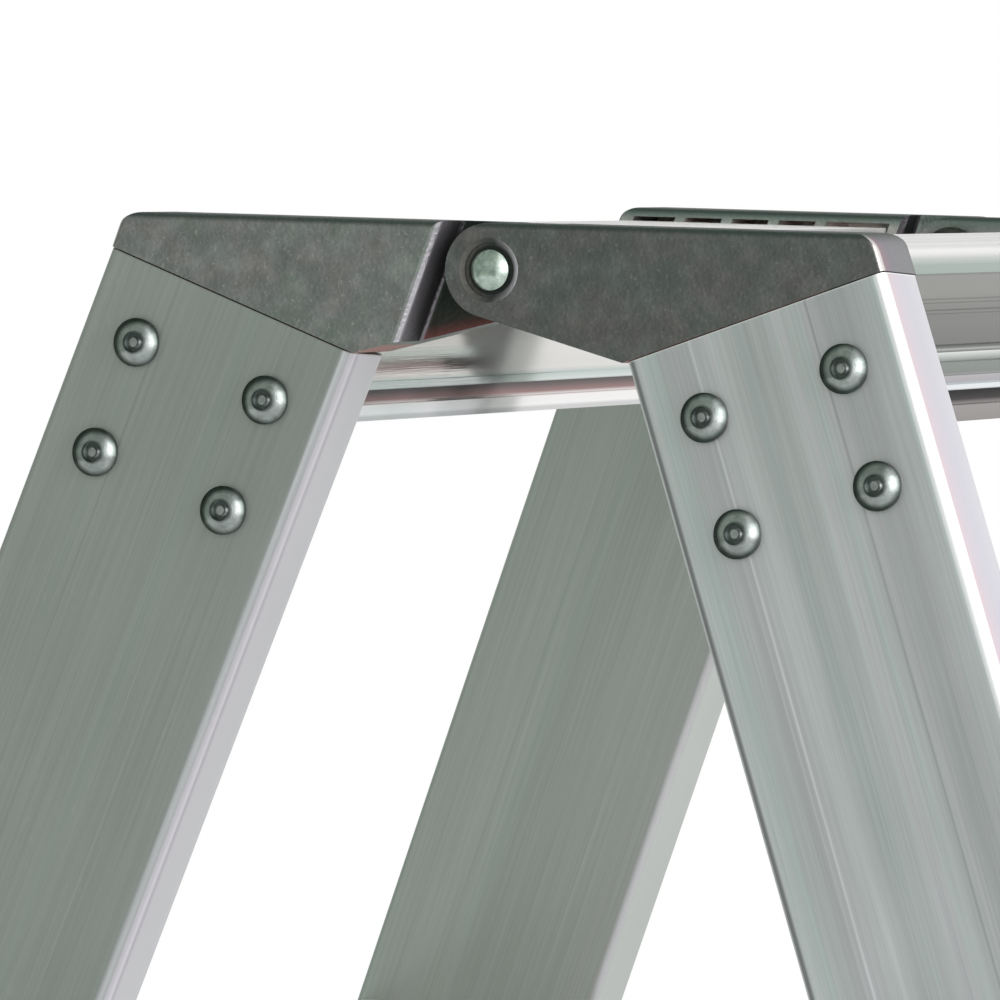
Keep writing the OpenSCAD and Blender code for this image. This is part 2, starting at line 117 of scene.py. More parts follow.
# %% [markdown]
# ## Node helpers
#
# Every finish below is a small net of shader nodes. A few helpers keep the nets readable: `put`
# adds a node with its settings and inputs, `calc` adds one step of arithmetic, `span` turns a
# stretch of values into 0 to 1, and `ramp` turns a value into a colour.

# %% Helpers: adding and joining shader nodes
def feed(tree, node, inputs):
    """Fills a node's inputs: a socket is wired in, anything else is its plain value."""
    for name, value in inputs.items():
        if isinstance(value, bpy.types.NodeSocket):
            tree.links.new(value, node.inputs[name])
        else:
            node.inputs[name].default_value = value
    return node


def put(tree, kind, inputs=None, **settings):
    node = tree.nodes.new("ShaderNode" + kind)
    for name, value in settings.items():
        setattr(node, name, value)
    return feed(tree, node, inputs or {})


def calc(tree, operation, *values):
    """One step of arithmetic on sockets or numbers."""
    return put(tree, "Math", dict(enumerate(values)), operation=operation).outputs[0]


def span(tree, value, start, end, low=0.0, high=1.0):
    """Where a value lies between start and end, as 0 to 1 or as low to high."""
    return put(tree, "MapRange", {
        "Value": value, "From Min": start, "From Max": end, "To Min": low, "To Max": high,
    }).outputs["Result"]


print("node helpers ready")

# %% Helpers: colours
def srgb(r, g, b):
    """A colour as a picture editor shows it, from 0 to 255, made linear for the shader."""
    def linear(c):
        c /= 255
        return c / 12.92 if c <= 0.04045 else ((c + 0.055) / 1.055) ** 2.4
    return linear(r), linear(g), linear(b)


def ramp(tree, factor, stops):
    """A colour ramp from (position, grey or colour) stops."""
    node = put(tree, "ValToRGB", {"Fac": factor})
    band = node.color_ramp
    while len(band.elements) < len(stops):
        band.elements.new(0.5)
    for element, (position, colour) in zip(band.elements, stops):
        element.position = position
        if isinstance(colour, (int, float)):
            colour = (colour, colour, colour)
        element.color = (*colour, 1)
    return node.outputs["Color"]


print("middle grey:", [round(c, 3) for c in srgb(128, 128, 128)])

# %% Helpers: materials and groups
def new_material(name):
    material = bpy.data.materials.new(name)
    material.use_nodes = True
    tree = material.node_tree
    tree.nodes.clear()
    shader = put(tree, "BsdfPrincipled")
    put(tree, "OutputMaterial", {"Surface": shader.outputs["BSDF"]})
    return material, tree, shader


def new_group(name, sockets_in, sockets_out):
    tree = bpy.data.node_groups.new(name, "ShaderNodeTree")
    for label, kind, value in sockets_in:
        socket = tree.interface.new_socket(label, in_out="INPUT", socket_type="NodeSocket" + kind)
        if value is not None:
            socket.default_value = value
    for label, kind in sockets_out:
        tree.interface.new_socket(label, in_out="OUTPUT", socket_type="NodeSocket" + kind)
    return tree, tree.nodes.new("NodeGroupInput"), tree.nodes.new("NodeGroupOutput")


def use_group(tree, group, inputs):
    node = tree.nodes.new("ShaderNodeGroup")
    node.node_tree = group
    return feed(tree, node, inputs)


print("material helpers ready")

# %% [markdown]
# ## Lines in drawn aluminium
#
# An extruded section carries fine lines along its length, where the die has scraped it, and broad
# soft streaks where it cooled. Both are noise that is stretched some eighty times along the
# section. The group takes coordinates whose Z already runs along the section.

# %% Group: drawn lines
def noise(tree, vector, scale, detail, roughness):
    """Soft random patches, from 0 to 1."""
    return put(tree, "TexNoise", {
        "Vector": vector, "Scale": scale, "Detail": detail, "Roughness": roughness,
    }).outputs["Fac"]


LENGTHWISE = 0.012
drawn, g_in, g_out = new_group(
    "drawn lines",
    [("Vector", "Vector", None), ("Broad per metre", "Float", 45.0),
     ("Fine per metre", "Float", 1400.0)],
    [("Broad", "Float"), ("Fine", "Float"), ("Patch", "Float")],
)
point = g_in.outputs["Vector"]
stretched = put(drawn, "Mapping", {"Vector": point, "Scale": (1, 1, LENGTHWISE)}).outputs["Vector"]
feed(drawn, g_out, {
    "Broad": noise(drawn, stretched, g_in.outputs["Broad per metre"], 3.0, 0.55),
    "Fine": noise(drawn, stretched, g_in.outputs["Fine per metre"], 2.0, 0.6),
    "Patch": noise(drawn, point, 14.0, 3.0, 0.5),
})
print("group:", drawn.name)

# %% [markdown]
# ## Scratches of use
#
# A ladder on a site is dragged, stacked and knocked. Short bright scratches lie in all
# directions, thinly spread. Stretched noise, cut down to its thin peaks and masked by slow noise
# so that they come in clusters, gives that.

# %% Group: scuffs
scuffs, g_in, g_out = new_group(
    "scuffs", [("Vector", "Vector", None), ("Amount", "Float", 0.5)], [("Mask", "Float")]
)
point = g_in.outputs["Vector"]
scratched = 0.0
for angle in (0.5, 1.9, -0.8):
    turned = put(scuffs, "Mapping", {
        "Vector": point, "Rotation": (angle, angle * 0.7, angle * 1.3), "Scale": (1, 0.07, 0.4),
    }).outputs["Vector"]
    peaks = span(scuffs, noise(scuffs, turned, 420.0, 1.0, 0.4), 0.70, 0.76)
    scratched = calc(scuffs, "MAXIMUM", scratched, peaks)
clusters = span(scuffs, noise(scuffs, point, 22.0, 2.0, 0.5), 0.48, 0.62)
scratched = calc(scuffs, "MULTIPLY", scratched, clusters)
feed(scuffs, g_out, {"Mask": calc(scuffs, "MULTIPLY", scratched, g_in.outputs["Amount"])})
print("group:", scuffs.name)

# %% [markdown]
# ## Places on a stile
#
# Each stile leans and splays its own way, and its lines, corners and rivets lie along it. This
# helper turns a point into millimetres of the stile itself: X across the wide face from the
# hinge, Y through its thickness, and Z along it, with zero at the level of the hinge.

# %% Helper: places on a stile
STILE_EDGE = 33.3
STILE_W = 85.0


def stile_place(tree, side, y_sign):
    """A point in millimetres along one stile's own directions, from the hinge."""
    s = y_sign * side
    to_stile = stile_turn(side, y_sign).to_3x3().inverted()
    splay_back = Matrix.Rotation(-s * SPLAY, 3, "X")
    shift = to_stile @ Vector((0, 0, HINGE_Z)) + splay_back @ Vector((0, s * STILE_Y, 0))
    point = put(tree, "TexCoord").outputs["Object"]
    return put(tree, "Mapping", {
        "Vector": point, "Rotation": tuple(to_stile.to_euler("XYZ")),
        "Location": tuple(shift * -1000), "Scale": (1000, 1000, 1000),
    }).outputs["Vector"]


print("stile from", STILE_EDGE, "to", STILE_EDGE + STILE_W, "mm")

# %% [markdown]
# ## The stiles' finish
#
# The stiles are plain mill-finish aluminium: a matt grey, with streaks along the length that turn
# slightly green or lilac. A few streaks always lie at the same place, because the die makes them:
# a fine bright line through one row of rivets, a dark one beside the other row, and a pair along
# the edge. Noise gives the loose streaks, and a ramp across the width gives those few lines. The
# same ramp holds painted light on the rounded corners: on the right flight a painted dark line by
# the hinge-side corner and a painted highlight along the outer corner, and on the left flight a
# painted highlight along the hinge-side corner. The narrow faces and the burr of the saw cut at
# the top get tones of their own, and on the right flight the outer narrow face ends in a painted
# highlight at its corner. The four stiles are lit and shaded copies of one finish: how pale or
# grey each one is, is painted light.

# %% Helpers: mixing colours and roughening a surface
def blend(tree, factor, kind="MIX", first=None, second=None):
    """A colour mix whose two colours are sockets or plain colours."""
    node = put(tree, "Mix", {0: factor}, data_type="RGBA", blend_type=kind)
    for place, value in ((6, first), (7, second)):
        if not isinstance(value, bpy.types.NodeSocket):
            value = (*value, 1)
        feed(tree, node, {place: value})
    return node.outputs[2]


def relief(tree, height, strength, distance):
    """A normal that is ruffled by a height, as far as the distance in metres."""
    return put(tree, "Bump", {
        "Height": height, "Strength": strength, "Distance": distance,
    }).outputs["Normal"]


print("colour helpers ready")

# %% The metal's colour, with each stile's tone as painted light
def streaked(tree, along, lines, look):
    """Broad soft streaks, narrower ones that turn green or lilac, and hairlines."""
    spread = span(tree, lines.outputs["Broad"], 0.5 - look["contrast"], 0.5 + look["contrast"])
    body = blend(tree, spread, first=look["tone"], second=look["streak"])
    narrow = use_group(tree, drawn, {"Vector": along, "Broad per metre": 110.0})
    hue = ramp(tree, narrow.outputs["Broad"], [
        (0.36, (0.90, 1.0, 0.98)), (0.5, (0.99, 0.99, 0.99)), (0.62, (1.04, 0.97, 1.02)),
    ])
    body = blend(tree, look["tint"], "MULTIPLY", body, hue)
    hair = ramp(tree, lines.outputs["Fine"], [(0.3, 0.93), (0.7, 1.06)])
    return blend(tree, 1.0, "MULTIPLY", body, hair)


def die_and_corner_marks(tree, x, marks, body):
    """The same few lines on every metre, as (millimetres from the hinge edge, grey or colour): die
    lines, and painted light and shade on the corners.
    """
    share = span(tree, x, STILE_EDGE, STILE_EDGE + STILE_W)
    lines = ramp(tree, share, [(at / STILE_W, colour) for at, colour in marks])
    return blend(tree, 1.0, "MULTIPLY", body, lines)


print("streaks and die lines ready")

# %% Narrow faces of a stile, with painted light
SAW_CUT = -40.3
BURR_END = -40.9


def narrow_faces_and_burr(tree, axes, turn, look, body):
    """The two narrow faces, each a ramp through the stile's thickness that holds painted light,
    and the saw cut.
    """
    x = axes.outputs["X"]
    inner = span(tree, x, STILE_EDGE + 0.3, STILE_EDGE + 0.1)
    outer = span(tree, x, STILE_EDGE + STILE_W - 0.3, STILE_EDGE + STILE_W - 0.1)
    half = STILE_T * 500 * turn
    through = span(tree, axes.outputs["Y"], -half, half)
    for face, lit_tone in ((inner, look["inner"]), (outer, look["outer"])):
        body = blend(tree, face, first=body, second=ramp(tree, through, lit_tone))
    burr = span(tree, axes.outputs["Z"], BURR_END, SAW_CUT)
    return blend(tree, burr, first=body, second=look["burr"])


print("saw cut at", SAW_CUT, "mm")

# %% Material: stiles
def stile_finish(name, side, y_sign, look):
    material, tree, shader = new_material(name)
    local = stile_place(tree, side, y_sign)
    axes = put(tree, "SeparateXYZ", {"Vector": local})
    along = put(tree, "Mapping", {
        "Vector": local, "Scale": (0.001, 0.001, 0.001),
        "Location": (0.31 * side, 0.17 * y_sign, 0.0),
    }).outputs["Vector"]
    lines = use_group(tree, drawn, {"Vector": along})
    body = streaked(tree, along, lines, look)
    body = die_and_corner_marks(tree, axes.outputs["X"], look["die_and_corner_light"], body)
    body = narrow_faces_and_burr(tree, axes, y_sign * side, look, body)
    scratches = use_group(tree, scuffs, {"Vector": along, "Amount": 0.07})
    body = blend(tree, scratches.outputs["Mask"], first=body, second=srgb(222, 224, 222))
    feed(tree, shader, {
        "Base Color": body, "Metallic": 0.75,
        "Roughness": span(tree, lines.outputs["Patch"], 0.3, 0.7, 0.40, 0.52),
        "Normal": relief(tree, lines.outputs["Fine"], 0.22, 0.0002),
    })
    return material


print("stile finish ready")

# %% Lines, narrow-face tones and painted light of each stile
# right flight: the dark line from 1.5 to 2.4 mm is painted shade on the hinge-side corner, and the
# bright end from 81.9 mm is a painted highlight on the outer corner
PALE_DIE_AND_CORNER_LIGHT = [
    (0.0, 0.90), (1.0, 0.92), (1.5, 0.34), (2.4, 0.40), (3.1, 0.94), (18.4, 0.97), (18.9, 1.10),
    (19.4, 0.98), (20.4, 1.0), (20.9, 1.32), (21.6, 1.0), (40.0, 0.96), (58.7, 1.0), (59.2, 0.72),
    (59.8, 0.97), (68.0, 0.94), (79.5, (0.88, 0.91, 0.90)), (81.4, (0.95, 1.01, 1.0)),
    (81.9, 1.5), (85.0, 1.5),
]
# left flight: the bright lilac start, up to about 4 mm, is a painted highlight on the hinge-side
# corner
GREEN_DIE_AND_CORNER_LIGHT = [
    (0.0, (1.12, 1.04, 1.14)), (1.6, (1.06, 1.0, 1.07)), (4.0, (0.98, 0.97, 0.98)),
    (20.4, 0.98), (20.9, 1.06), (21.6, 0.98), (59.0, 1.0), (59.4, 0.9), (60.0, 1.0),
    (81.0, 0.98), (83.0, 1.04), (85.0, 1.04),
]
# narrow-face tones, set per stile as painted light; the white end of the lilac one is a painted
# highlight on its corner
PLAIN_NARROW_TONE = [(0.0, srgb(192, 196, 192)), (1.0, srgb(190, 194, 190))]
WHITE_NARROW_TONE = [(0.0, srgb(206, 210, 207)), (1.0, srgb(208, 210, 208))]
LINED_NARROW_TONE = [
    (0.0, srgb(207, 207, 209)), (0.66, srgb(208, 207, 210)), (0.74, srgb(188, 184, 191)),
    (0.80, srgb(222, 219, 224)), (0.88, srgb(206, 203, 209)),
]
LILAC_NARROW_TONE_AND_HIGHLIGHT = [
    (0.0, srgb(212, 212, 216)), (0.45, srgb(206, 204, 211)), (0.72, srgb(211, 203, 210)),
    (0.87, srgb(219, 202, 208)), (0.895, srgb(246, 246, 247)),
]
# lit and shaded copies of one finish: how pale or grey each stile is, is painted light
LIT_STILE = {
    "tone": srgb(198, 201, 201), "streak": srgb(232, 234, 235), "contrast": 0.16, "tint": 0.6,
    "die_and_corner_light": PALE_DIE_AND_CORNER_LIGHT, "inner": WHITE_NARROW_TONE, "outer": LILAC_NARROW_TONE_AND_HIGHLIGHT, "burr": srgb(246, 248, 247),
}
SHADED_STILE = {
    "tone": srgb(166, 171, 166), "streak": srgb(177, 182, 177), "contrast": 0.22, "tint": 0.3,
    "die_and_corner_light": GREEN_DIE_AND_CORNER_LIGHT, "inner": LINED_NARROW_TONE, "outer": PLAIN_NARROW_TONE, "burr": srgb(150, 148, 143),
}
LESS_SHADED_STILE = {
    **SHADED_STILE, "tone": srgb(182, 187, 182), "streak": srgb(194, 199, 194),
    "inner": PLAIN_NARROW_TONE, "burr": srgb(190, 194, 190),
}
STILE_LOOKS = {
    "near_right": LIT_STILE, "far_right": LIT_STILE,
    "near_left": SHADED_STILE, "far_left": LESS_SHADED_STILE,
}
for flight, side in FLIGHTS.items():
    for end, y_sign in SIDES.items():
        which = f"{end}_{flight}"
        nodes[which + "_stile"].data.materials[0] = stile_finish(
            f"{end} {flight} stile aluminium", side, y_sign, STILE_LOOKS[which]
        )
print("stiles finished:", len(STILE_LOOKS))

# %% [markdown]
# ## The castings' finish
#
# The hinge castings are left as they come out of the mould: dark grey, mottled, rough to the
# touch. Three sizes of noise make the mottling, grains and small cells roughen the skin, and the
# pale flecks are where handling has rubbed the skin bright.

# %% Group: cast skin
skin, g_in, g_out = new_group(
    "cast skin", [("Vector", "Vector", None)],
    [("Mottle", "Float"), ("Pits", "Float"), ("Fleck", "Float"), ("Tint", "Float")],
)
point = g_in.outputs["Vector"]
grit = noise(skin, point, 900.0, 3.0, 0.6)
dots = put(skin, "TexVoronoi", {"Vector": point, "Scale": 700.0})
feed(skin, g_out, {
    "Mottle": noise(skin, point, 130.0, 5.0, 0.62),
    "Pits": calc(skin, "ADD", grit, dots.outputs["Distance"]),
    "Fleck": span(skin, grit, 0.60, 0.74),
    "Tint": noise(skin, point, 70.0, 2.0, 0.5),
})
print("group:", skin.name)

# %% [markdown]
# A used casting shows more than its skin: marks of use, and painted light and shade. Each mark
# keeps to its own place, so a casting's material first works out where a point lies and which way
# it faces. All four castings are alike on either side of the ladder's middle, so plain distances
# from the middle serve for all of them. The object's own normal tells tops, ends and edges apart.

# %% Helpers: places on a casting
CAST_FACE = 0.2007
CAST_BACK = 0.1742
CAST_END = 0.123
LAP_END = 0.042
KEPT_SKIN = (0.1998, 0.2002)


def all_of(tree, *masks):
    """A mask that holds where all of the given masks hold."""
    whole = masks[0]
    for mask in masks[1:]:
        whole = calc(tree, "MULTIPLY", whole, mask)
    return whole


def casting_places(tree):
    """Distances from the ladder's middle in metres, and directions.

    Outward is over 0 on faces that look away from the ladder's middle, and under 0 on inner ones.
    """
    seat = put(tree, "TexCoord")
    at = put(tree, "SeparateXYZ", {"Vector": seat.outputs["Object"]})
    facing = put(tree, "SeparateXYZ", {"Vector": seat.outputs["Normal"]})
    here = {
        "point": seat.outputs["Object"], "x": at.outputs["X"], "z": at.outputs["Z"],
        "far_x": calc(tree, "ABSOLUTE", at.outputs["X"]),
        "far_y": calc(tree, "ABSOLUTE", at.outputs["Y"]),
        "facing_x": facing.outputs["X"], "facing_y": facing.outputs["Y"],
        "facing_z": facing.outputs["Z"],
        "end_on": calc(tree, "ABSOLUTE", facing.outputs["X"]),
        "outward": calc(tree, "MULTIPLY", facing.outputs["Y"], at.outputs["Y"]),
    }
    here["by_hinge"] = calc(tree, "LESS_THAN", here["far_x"], LAP_END)
    # where painted wall shade and painted edge highlights may go: all but the outer half of the
    # chamfer by the hinge
    skin_kept = calc(tree, "MULTIPLY", span(tree, here["far_y"], *KEPT_SKIN), here["by_hinge"])
    here["worn"] = calc(tree, "SUBTRACT", 1.0, skin_kept)
    return here


print("casting from", CAST_BACK, "to", CAST_FACE, "m from the middle plane")

# %% The skin's colour
def cast_colour(tree, surface, lift):
    """Mottled grey with a change of hue and pale flecks. Lift makes all of it paler, as painted
    light.
    """
    body = ramp(tree, surface.outputs["Mottle"], [
        (0.30, srgb(86 * lift, 89 * lift, 86 * lift)),
        (0.50, srgb(96 * lift, 98 * lift, 96 * lift)),
        (0.70, srgb(111 * lift, 112 * lift, 110 * lift)),
    ])
    hue = ramp(tree, surface.outputs["Tint"], [
        (0.35, (0.94, 1.03, 0.97)), (0.5, (1, 1, 1)), (0.66, (1.05, 0.985, 0.975)),
    ])
    body = blend(tree, 1.0, "MULTIPLY", body, hue)
    fleck = srgb(120 * lift, 122 * lift, 118 * lift)
    return blend(tree, surface.outputs["Fleck"], first=body, second=fleck)


print("cast colour ready")

# %% [markdown]
# On its inner side a casting is a tray: a pocket, open to the ladder's middle, with four ribs
# across it. Nothing rubs there, so the pocket holds warm dust, painted pale enough to lift it out
# of its shade, which is painted light, and browner on what faces down, which is painted shade. The
# rim above it is painted a darker green grey, a painted dark reflection like that on the tops. The
# mask of the pocket is a product of plain comparisons.

# %% Dust, and painted light and shade, in the pocket
POCKET_START = 0.034
LAST_RIB = 0.108
POCKET_TOP = HINGE_Z + 0.0112
POCKET_SIDE = (0.1752, 0.178)
RIM = (HINGE_Z + 0.0095, HINGE_Z + 0.0120)
SIDEWAYS = 0.09


def pocket_dust_and_shade(tree, here, body):
    """The colour with dust and painted light and shade in it, and the mask of the pocket."""
    inner_side = calc(tree, "LESS_THAN", here["outward"], -SIDEWAYS)
    pocket = all_of(
        tree,
        calc(tree, "LESS_THAN", here["far_x"], CAST_END),
        calc(tree, "GREATER_THAN", here["far_x"], POCKET_START),
        calc(tree, "LESS_THAN", here["z"], POCKET_TOP),
        span(tree, here["far_y"], *POCKET_SIDE),
        calc(tree, "LESS_THAN", here["outward"], SIDEWAYS),
        calc(tree, "MAXIMUM", inner_side, calc(tree, "LESS_THAN", here["far_x"], LAST_RIB)),
    )
    # the dust is pale enough to lift the shaded pocket, which is painted light, and browner on
    # what faces down, which is painted shade
    under = span(tree, here["facing_z"], -0.2, -0.5)
    dust_and_shade = blend(tree, under, first=srgb(246, 232, 224), second=srgb(168, 128, 120))
    body = blend(tree, pocket, first=body, second=dust_and_shade)
    # a darker green grey band along the top of the inner side: a painted dark reflection
    painted_dark_rim = calc(tree, "MULTIPLY", span(tree, here["z"], *RIM), inner_side)
    return blend(tree, painted_dark_rim, first=body, second=srgb(116, 130, 124)), pocket


print("pocket from", POCKET_START, "to", CAST_END, "m")

# %% [markdown]
# Where the leaves lap, the recess behind the outer leaf is painted nearly black as painted shade,
# turning red-brown along the recess's lower edge, which slants. The slanted wall beside the leaf
# is painted dark inside, as painted shade, and bright at its edge, as a painted highlight. The
# outer half of that edge's chamfer keeps the casting's own skin.

# %% Painted shade and highlight at the lap
LAP_FADE = (LAP_END, 0.040)
LAP_DEPTH = 0.1985
LOWER_SLOPE = 0.26
LOWER_EDGE = (HINGE_Z - 0.0145, HINGE_Z + 0.0055)
WALL_DEPTH = (0.184, 0.2)


def lap_shade_and_light(tree, here, body):
    recess = all_of(
        tree,
        span(tree, here["far_x"], *LAP_FADE),
        calc(tree, "LESS_THAN", here["far_y"], LAP_DEPTH),
        calc(tree, "GREATER_THAN", here["outward"], 0.05),
    )
    # the recess: painted shade, nearly black, turning red-brown along its slanting lower edge
    over_edge = calc(tree, "MULTIPLY_ADD", here["far_x"], LOWER_SLOPE, here["z"])
    painted_shade = ramp(tree, span(tree, over_edge, *LOWER_EDGE), [
        (0.0, srgb(118, 74, 70)), (0.09, srgb(92, 62, 58)), (0.2, srgb(56, 56, 49)),
        (0.4, srgb(46, 54, 46)), (1.0, srgb(30, 36, 31)),
    ])
    body = blend(tree, recess, first=body, second=painted_shade)
    # the slanted wall: painted shade deep inside, and a painted highlight at its edge
    wall = all_of(
        tree, calc(tree, "GREATER_THAN", here["end_on"], 0.6), here["by_hinge"], here["worn"]
    )
    wall_tone = ramp(tree, span(tree, here["far_y"], *WALL_DEPTH), [
        (0.0, srgb(28, 31, 29)), (0.35, srgb(60, 59, 61)), (0.84, srgb(112, 108, 113)),
        (0.89, srgb(150, 146, 151)), (1.0, srgb(158, 154, 159)),
    ])
    return blend(tree, wall, first=body, second=wall_tone)


print("lap of", LAP_END, "m")

# %% [markdown]
# Whatever faces up is painted darker, a painted reflection of the dark room above. The outer end
# has been scraped over floors and racks: it is paler than the skin, partly as painted light, and
# its palest band, at the outer corner, is a painted highlight.

# %% Painted dark reflection on top, and the scraped end with its painted highlight
END_START = 0.117


def top_and_end(tree, here, body):
    # what faces up is painted darker: a painted reflection of the dark room above
    dark_top_reflection = span(tree, here["facing_z"], 0.15, 0.6, 0.0, 0.85)
    body = blend(tree, dark_top_reflection, first=body, second=srgb(52, 66, 60))
    # the outer end is paler, partly as painted light, and its palest band at the outer corner is a
    # painted highlight
    past_end = calc(tree, "GREATER_THAN", here["far_x"], END_START)
    scraped_and_lit = calc(tree, "MULTIPLY", span(tree, here["end_on"], 0.25, 0.75), past_end)
    end_tone = ramp(tree, span(tree, here["far_y"], CAST_BACK, CAST_FACE), [
        (0.0, srgb(118, 122, 120)), (0.12, srgb(129, 130, 130)), (0.66, srgb(129, 127, 131)),
        (0.88, srgb(146, 126, 134)), (0.915, srgb(206, 200, 196)), (1.0, srgb(210, 205, 200)),
    ])
    return blend(tree, scraped_and_lit, first=body, second=end_tone)


print("scraped past", END_START, "m")

# %% [markdown]
# The sharp upright edges get a painted highlight. On such an edge the normal points halfway
# between X and Y, so the product of the two is close to a half there. The edge of the bore round
# the pin has such normals too, so the bore is taken out of that mask. It gets tones of its own:
# painted shade close to the pin and a painted highlight on the side that faces the window.

# %% Painted edge highlights and the bore
BORE_EDGE = 0.0097
BORE_FADE = 0.0003
BY_PIN = (0.0078, 0.0070)
HALFWAY = (0.36, 0.46)


def edge_highlights_and_bore(tree, here, body):
    """The colour with painted edge highlights and the bore's painted light and shade, and the mask
    of the edges.
    """
    down = calc(tree, "SUBTRACT", here["z"], HINGE_Z)
    round_pin = put(tree, "CombineXYZ", {"X": here["x"], "Z": down}).outputs[0]
    from_pin = put(tree, "VectorMath", {0: round_pin}, operation="LENGTH").outputs["Value"]
    off_bore = calc(tree, "GREATER_THAN", from_pin, BORE_EDGE)
    # a painted highlight on the sharp upright edges, dimmer deeper in
    both = calc(tree, "ABSOLUTE", calc(tree, "MULTIPLY", here["facing_x"], here["facing_y"]))
    edge = all_of(tree, span(tree, both, *HALFWAY), off_bore, here["worn"])
    along = span(tree, here["far_x"], 0.03, 0.09)
    lit_tone = blend(tree, along, first=srgb(180, 178, 183), second=srgb(224, 222, 220))
    inside = span(tree, here["far_y"], 0.192, 0.187)
    lit_tone = blend(tree, inside, first=lit_tone, second=srgb(118, 113, 119))
    body = blend(tree, edge, first=body, second=lit_tone)
    # the bore: painted shade by the pin and a painted highlight on the side that faces the window
    bore = ramp(tree, span(tree, here["x"], -0.010, 0.010), [
        (0.0, srgb(98, 96, 91)), (0.3, srgb(92, 92, 87)), (0.55, srgb(72, 75, 72)),
        (0.78, srgb(158, 154, 159)), (1.0, srgb(232, 226, 234)),
    ])
    bore = blend(tree, span(tree, from_pin, *BY_PIN), first=bore, second=srgb(36, 42, 39))
    in_bore = span(tree, from_pin, BORE_EDGE, BORE_EDGE - BORE_FADE)
    return blend(tree, in_bore, first=body, second=bore), edge


print("bore radius:", BORE_EDGE, "m")

# %% [markdown]
# Some castings look paler than others because of how the light falls on them, so the finish is a
# function with a lift, which is painted light. The edges with the painted highlight are smoother
# and more metallic than the skin, and dust isn't metallic at all.

# %% Material: castings
def cast_finish(name, lift):
    material, tree, shader = new_material(name)
    here = casting_places(tree)
    surface = use_group(tree, skin, {"Vector": here["point"]})
    body = cast_colour(tree, surface, lift)
    body, pocket = pocket_dust_and_shade(tree, here, body)
    body = lap_shade_and_light(tree, here, body)
    body = top_and_end(tree, here, body)
    body, edge = edge_highlights_and_bore(tree, here, body)
    clean = calc(tree, "SUBTRACT", 1.0, pocket)
    feed(tree, shader, {
        "Base Color": body,
        "Metallic": calc(tree, "MULTIPLY", span(tree, edge, 0.0, 1.0, 0.45, 0.9), clean),
        "Roughness": span(tree, edge, 0.0, 1.0, 0.62, 0.34),
        "Normal": relief(tree, surface.outputs["Pits"], 0.42, 0.0004),
    })
    return material


# each casting's lift stands for how lit it looks: painted light
LIGHT_LIFTS = {"near_right": 1.0, "near_left": 1.3, "far_right": 1.4, "far_left": 1.8}
for which, lift in LIGHT_LIFTS.items():
    name = which.replace("_", " ") + " casting"
    nodes[which + "_casting"].data.materials[0] = cast_finish(name, lift)
print("castings finished:", len(LIGHT_LIFTS))

# %% [markdown]
# ## Zinc on the steel fasteners
#
# Rivets, pins and washers are zinc plated: bright, with a slight blue green cast and cloudy
# spots. One function makes the plating, and each kind of fastener gets its own brightness. The
# peened inner ends of the hinge pins are painted darker, as painted shade.

# %% Material: zinc plate
PIN_INNER_END = 0.178


def zinc(name, light, dark, roughness, cloud, shade_inside=None):
    """Cloudy plating, darkened as painted shade where it is nearer to the middle than
    shade_inside, in metres.
    """
    material, tree, shader = new_material(name)
    point = put(tree, "TexCoord").outputs["Object"]
    blotch = noise(tree, point, cloud, 4.0, 0.6)
    colour = ramp(tree, blotch, [(0.32, dark), (0.68, light)])
    # the pin's inner end is painted darker: painted shade
    if shade_inside:
        at = put(tree, "SeparateXYZ", {"Vector": point})
        off_middle = calc(tree, "ABSOLUTE", at.outputs["Y"])
        inside = calc(tree, "LESS_THAN", off_middle, shade_inside)
        colour = blend(tree, inside, "MULTIPLY", colour, srgb(120, 116, 116))
    feed(tree, shader, {
        "Base Color": colour, "Metallic": 1.0,
        "Roughness": span(tree, blotch, 0.0, 1.0, roughness, roughness + 0.12),
        "Normal": relief(tree, noise(tree, point, 1800.0, 2.0, 0.5), 0.12, 0.0002),
    })
    return material


rivet_zinc = zinc("rivet zinc", srgb(190, 195, 194), srgb(146, 152, 150), 0.16, 260.0)
pin_zinc = zinc(
    "pin zinc", srgb(218, 232, 221), srgb(160, 177, 166), 0.18, 420.0, shade_inside=PIN_INNER_END
)
stay_zinc = zinc("stay zinc", srgb(190, 193, 195), srgb(164, 167, 170), 0.34, 60.0)
for name, node in nodes.items():
    if name.endswith("_rivets"):
        node.data.materials[0] = rivet_zinc
    elif "hinge_pin" in name or "hinge_washer" in name:
        node.data.materials[0] = pin_zinc
    elif "_stay_" in name:
        node.data.materials[0] = stay_zinc
print("fasteners and stays finished")

# %% [markdown]
# The large rivets that hold the castings stand out in the photograph. Each has a bright broken
# stem in a dark ring, which is painted shade in the recess round the stem, and a dark line round
# its head, thickest on its left, which is a painted dark reflection. The four rivets of a stile
# lie on a small grid, so wrapping the place on the stile into one cell of that grid gives the
# distance from the nearest rivet's middle, and two ramps over that distance colour the ring and
# the rim.

# %% Places on the casting rivets
RIVETS_ACROSS = 46.0
RIVETS_ALONG = 35.5
RIVET_X = STILE_EDGE + STILE_W / 2 - RIVETS_ACROSS / 2
RIVET_Z = -63.5


def rivet_distance(tree, local, x_shift):
    """Millimetres from the middle of the nearest rivet, or from a point beside it."""
    cell = put(tree, "VectorMath", {
        0: local,
        1: (RIVET_X + RIVETS_ACROSS / 2, 0.0, RIVET_Z + RIVETS_ALONG / 2),
        2: (RIVET_X - RIVETS_ACROSS / 2, 0.0, RIVET_Z - RIVETS_ALONG / 2),
    }, operation="WRAP")
    offset = put(tree, "VectorMath", {
        0: cell.outputs[0], 1: (RIVET_X + x_shift, 0.0, RIVET_Z),
    }, operation="SUBTRACT")
    return put(tree, "VectorMath", {0: offset.outputs[0]}, operation="LENGTH").outputs["Value"]


